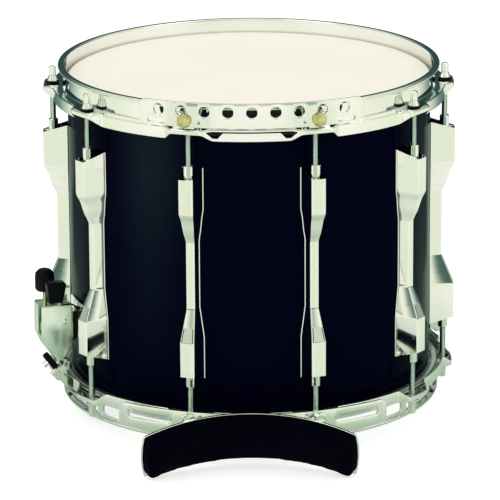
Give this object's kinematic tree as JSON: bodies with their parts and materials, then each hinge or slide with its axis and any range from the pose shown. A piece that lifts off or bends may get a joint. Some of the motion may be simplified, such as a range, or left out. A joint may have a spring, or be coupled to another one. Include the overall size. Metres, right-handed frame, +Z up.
{
  "type": "marching snare drum",
  "caption": "Marching snare drum with chrome lugs and hoops, coated head, carrier plate, leg rest and a lever strainer.",
  "frame": {"origin": "centre of the batter head's playing surface, on the drum's axis", "axes": "+Z up along the drum's axis; -Y is the front, where the carrier plate and the leg rest are; +X is the right side seen from the front"},
  "size_m": [0.4151, 0.4559, 0.3535],
  "materials": {
    "chrome": "polished chrome plate",
    "chrome_hoop": "polished chrome plate on pressed steel",
    "shell_lacquer": "high-gloss black lacquer on plywood",
    "film_coated": "coated polyester film",
    "film_clear": "clear hazy polyester film",
    "aluminium": "satin",
    "brass": "bright brass",
    "black_plastic": "moulded black plastic",
    "black_pad": "black foam pad with a smooth skin",
    "snare_wire": "wound steel wire"
  },
  "bodies": {
    "drum": {"batter_counter_hoop": "chrome_hoop", "batter_flesh_hoop": "aluminium", "batter_head": "film_coated", "butt_end": "chrome", "carrier_bolt_left": "brass", "carrier_bolt_right": "brass", "carrier_plate": "chrome", "carrier_post_left": "chrome", "carrier_post_right": "chrome", "leg_rest_bolt_left": "chrome", "leg_rest_bolt_right": "chrome", "leg_rest_pad": "black_pad", "leg_rest_plate": "chrome", "leg_rest_post_left": "chrome", "leg_rest_post_right": "chrome", "leg_rest_strip": "chrome", "lug_front_left": "chrome", "lug_front_right": "chrome", "lug_left": "chrome", "lug_left_front": "chrome", "lug_left_rear": "chrome", "lug_rear_left": "chrome", "lug_rear_right": "chrome", "lug_right": "chrome", "lug_right_front": "chrome", "lug_right_rear": "chrome", "shell": "shell_lacquer", "snare_counter_hoop": "chrome_hoop", "snare_flesh_hoop": "aluminium", "snare_head": "film_clear", "strainer_base": "chrome", "strainer_housing": "chrome", "vent_eyelet": "chrome"},
    "lever": {"throw_off_lever": "chrome", "lever_grip": "black_plastic"},
    "snare_set": {"snare_carriage": "chrome", "snare_strands": "snare_wire"},
    "adjust_wheel": {"snare_adjust_wheel": "black_plastic"},
    "tension_knob": {"snare_tension_screw": "brass", "snare_tension_knob": "black_plastic"},
    "batter_rod_front_left": {"batter_rod_front_left": "chrome"},
    "snare_rod_front_left": {"snare_rod_front_left": "chrome"},
    "batter_rod_front_right": {"batter_rod_front_right": "chrome"},
    "snare_rod_front_right": {"snare_rod_front_right": "chrome"},
    "batter_rod_right_front": {"batter_rod_right_front": "chrome"},
    "snare_rod_right_front": {"snare_rod_right_front": "chrome"},
    "batter_rod_right": {"batter_rod_right": "chrome"},
    "snare_rod_right": {"snare_rod_right": "chrome"},
    "batter_rod_right_rear": {"batter_rod_right_rear": "chrome"},
    "snare_rod_right_rear": {"snare_rod_right_rear": "chrome"},
    "batter_rod_rear_right": {"batter_rod_rear_right": "chrome"},
    "snare_rod_rear_right": {"snare_rod_rear_right": "chrome"},
    "batter_rod_rear_left": {"batter_rod_rear_left": "chrome"},
    "snare_rod_rear_left": {"snare_rod_rear_left": "chrome"},
    "batter_rod_left_rear": {"batter_rod_left_rear": "chrome"},
    "snare_rod_left_rear": {"snare_rod_left_rear": "chrome"},
    "batter_rod_left": {"batter_rod_left": "chrome"},
    "snare_rod_left": {"snare_rod_left": "chrome"},
    "batter_rod_left_front": {"batter_rod_left_front": "chrome"},
    "snare_rod_left_front": {"snare_rod_left_front": "chrome"}
  },
  "joints": [
    {"name": "lever_throw", "type": "hinge", "parent": "drum", "child": "lever", "pos_m": [-0.18641, -0.06057, -0.23], "axis": [0.309, -0.9511, 0], "range_deg": [0, 85]},
    {"name": "lever_snare_drop", "type": "slide", "parent": "drum", "child": "snare_set", "axis": [0, 0, -1], "range_m": [0, 0.0025]},
    {"name": "snare_knob_turn", "type": "hinge", "parent": "drum", "child": "tension_knob", "pos_m": [-0.20161, -0.05584, -0.195], "axis": [0, 0, 1], "continuous": true},
    {"name": "snare_wheel_turn", "type": "hinge", "parent": "snare_set", "child": "adjust_wheel", "pos_m": [-0.19702, -0.06927, -0.27145], "axis": [-0.7828, -0.2544, -0.5678], "continuous": true},
    {"name": "tension_batter_front_left", "type": "hinge", "parent": "drum", "child": "batter_rod_front_left", "pos_m": [-0.05933, -0.1826, -0.02], "axis": [0, 0, 1], "continuous": true},
    {"name": "tension_snare_front_left", "type": "hinge", "parent": "drum", "child": "snare_rod_front_left", "pos_m": [-0.05933, -0.1826, -0.2856], "axis": [0, 0, 1], "continuous": true},
    {"name": "tension_batter_front_right", "type": "hinge", "parent": "drum", "child": "batter_rod_front_right", "pos_m": [0.05933, -0.1826, -0.02], "axis": [0, 0, 1], "continuous": true},
    {"name": "tension_snare_front_right", "type": "hinge", "parent": "drum", "child": "snare_rod_front_right", "pos_m": [0.05933, -0.1826, -0.2856], "axis": [0, 0, 1], "continuous": true},
    {"name": "tension_batter_right_front", "type": "hinge", "parent": "drum", "child": "batter_rod_right_front", "pos_m": [0.15533, -0.11285, -0.02], "axis": [0, 0, 1], "continuous": true},
    {"name": "tension_snare_right_front", "type": "hinge", "parent": "drum", "child": "snare_rod_right_front", "pos_m": [0.15533, -0.11285, -0.2856], "axis": [0, 0, 1], "continuous": true},
    {"name": "tension_batter_right", "type": "hinge", "parent": "drum", "child": "batter_rod_right", "pos_m": [0.192, 0, -0.02], "axis": [0, 0, 1], "continuous": true},
    {"name": "tension_snare_right", "type": "hinge", "parent": "drum", "child": "snare_rod_right", "pos_m": [0.192, 0, -0.2856], "axis": [0, 0, 1], "continuous": true},
    {"name": "tension_batter_right_rear", "type": "hinge", "parent": "drum", "child": "batter_rod_right_rear", "pos_m": [0.15533, 0.11285, -0.02], "axis": [0, 0, 1], "continuous": true},
    {"name": "tension_snare_right_rear", "type": "hinge", "parent": "drum", "child": "snare_rod_right_rear", "pos_m": [0.15533, 0.11285, -0.2856], "axis": [0, 0, 1], "continuous": true},
    {"name": "tension_batter_rear_right", "type": "hinge", "parent": "drum", "child": "batter_rod_rear_right", "pos_m": [0.05933, 0.1826, -0.02], "axis": [0, 0, 1], "continuous": true},
    {"name": "tension_snare_rear_right", "type": "hinge", "parent": "drum", "child": "snare_rod_rear_right", "pos_m": [0.05933, 0.1826, -0.2856], "axis": [0, 0, 1], "continuous": true},
    {"name": "tension_batter_rear_left", "type": "hinge", "parent": "drum", "child": "batter_rod_rear_left", "pos_m": [-0.05933, 0.1826, -0.02], "axis": [0, 0, 1], "continuous": true},
    {"name": "tension_snare_rear_left", "type": "hinge", "parent": "drum", "child": "snare_rod_rear_left", "pos_m": [-0.05933, 0.1826, -0.2856], "axis": [0, 0, 1], "continuous": true},
    {"name": "tension_batter_left_rear", "type": "hinge", "parent": "drum", "child": "batter_rod_left_rear", "pos_m": [-0.15533, 0.11285, -0.02], "axis": [0, 0, 1], "continuous": true},
    {"name": "tension_snare_left_rear", "type": "hinge", "parent": "drum", "child": "snare_rod_left_rear", "pos_m": [-0.15533, 0.11285, -0.2856], "axis": [0, 0, 1], "continuous": true},
    {"name": "tension_batter_left", "type": "hinge", "parent": "drum", "child": "batter_rod_left", "pos_m": [-0.192, 0, -0.02], "axis": [0, 0, 1], "continuous": true},
    {"name": "tension_snare_left", "type": "hinge", "parent": "drum", "child": "snare_rod_left", "pos_m": [-0.192, 0, -0.2856], "axis": [0, 0, 1], "continuous": true},
    {"name": "tension_batter_left_front", "type": "hinge", "parent": "drum", "child": "batter_rod_left_front", "pos_m": [-0.15533, -0.11285, -0.02], "axis": [0, 0, 1], "continuous": true},
    {"name": "tension_snare_left_front", "type": "hinge", "parent": "drum", "child": "snare_rod_left_front", "pos_m": [-0.15533, -0.11285, -0.2856], "axis": [0, 0, 1], "continuous": true}
  ],
  "couplings": [
    {"joint": "lever_throw", "follows": "lever_snare_drop", "rad_per_m": 593.41}
  ]
}
